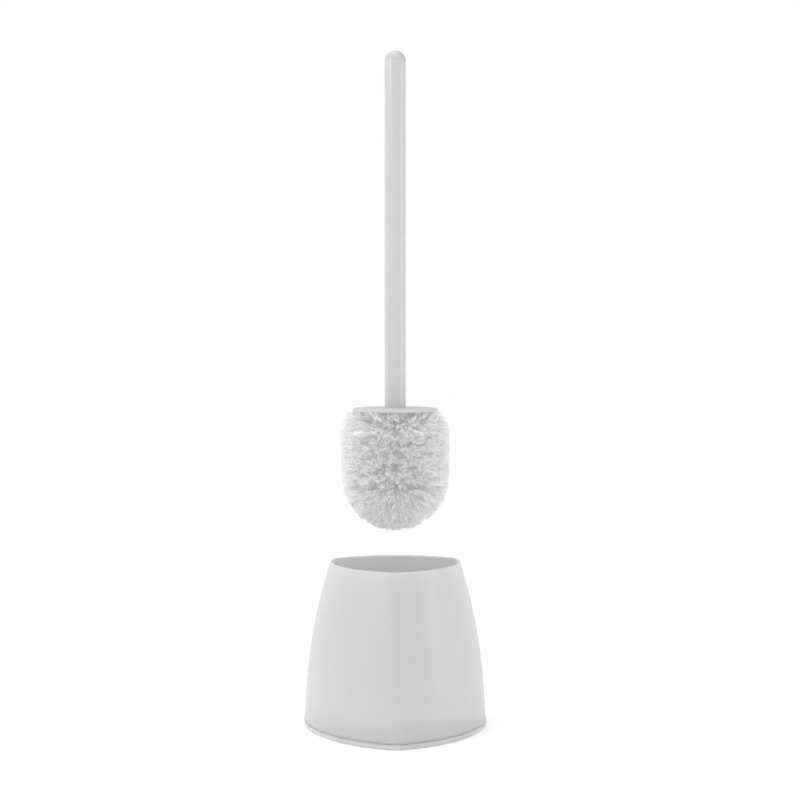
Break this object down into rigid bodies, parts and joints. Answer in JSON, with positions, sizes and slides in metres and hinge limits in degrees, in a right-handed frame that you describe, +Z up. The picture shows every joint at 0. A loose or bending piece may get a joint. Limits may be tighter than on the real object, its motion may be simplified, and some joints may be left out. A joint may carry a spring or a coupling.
{
  "type": "toilet brush holder",
  "caption": "Free-standing toilet brush set: a tapered pot with three bulged sides on a snap-in tray, and a round-headed brush with a splash collar that lifts straight out.",
  "frame": {"origin": "middle of the outline of the pot's foot, on the surface it stands on", "axes": "+Z up, parallel to the common axis of pot and brush, which stands 5.8 mm behind the origin at +Y; one of the pot's three bulged sides faces +Y (the back) and the crease opposite it faces -Y (the front)"},
  "size_m": [0.147, 0.1499, 0.5364],
  "materials": {
    "pot_plastic": "fine satin moulded polypropylene, off-white",
    "brush_plastic": "satin moulded polypropylene, off-white",
    "bristle": "loose flared tufts of crimped white monofilament",
    "anchor_wire": "flat drawn wire"
  },
  "bodies": {
    "holder": {"pot_shell": "pot_plastic", "base_tray": "pot_plastic"},
    "brush": {"handle": "brush_plastic", "splash_collar": "brush_plastic", "head_core": "brush_plastic", "tuft_ring_1": "bristle", "tuft_ring_2": "bristle", "tuft_ring_3": "bristle", "tuft_ring_4": "bristle", "tuft_ring_5": "bristle", "tuft_ring_6": "bristle", "tuft_ring_7": "bristle", "tuft_ring_8": "bristle", "tuft_ring_9": "bristle", "tuft_anchors": "anchor_wire"}
  },
  "joints": [
    {"name": "brush_lift", "type": "slide", "parent": "holder", "child": "brush", "axis": [0, 0, 1], "range_m": [-0.1519, 0]}
  ]
}
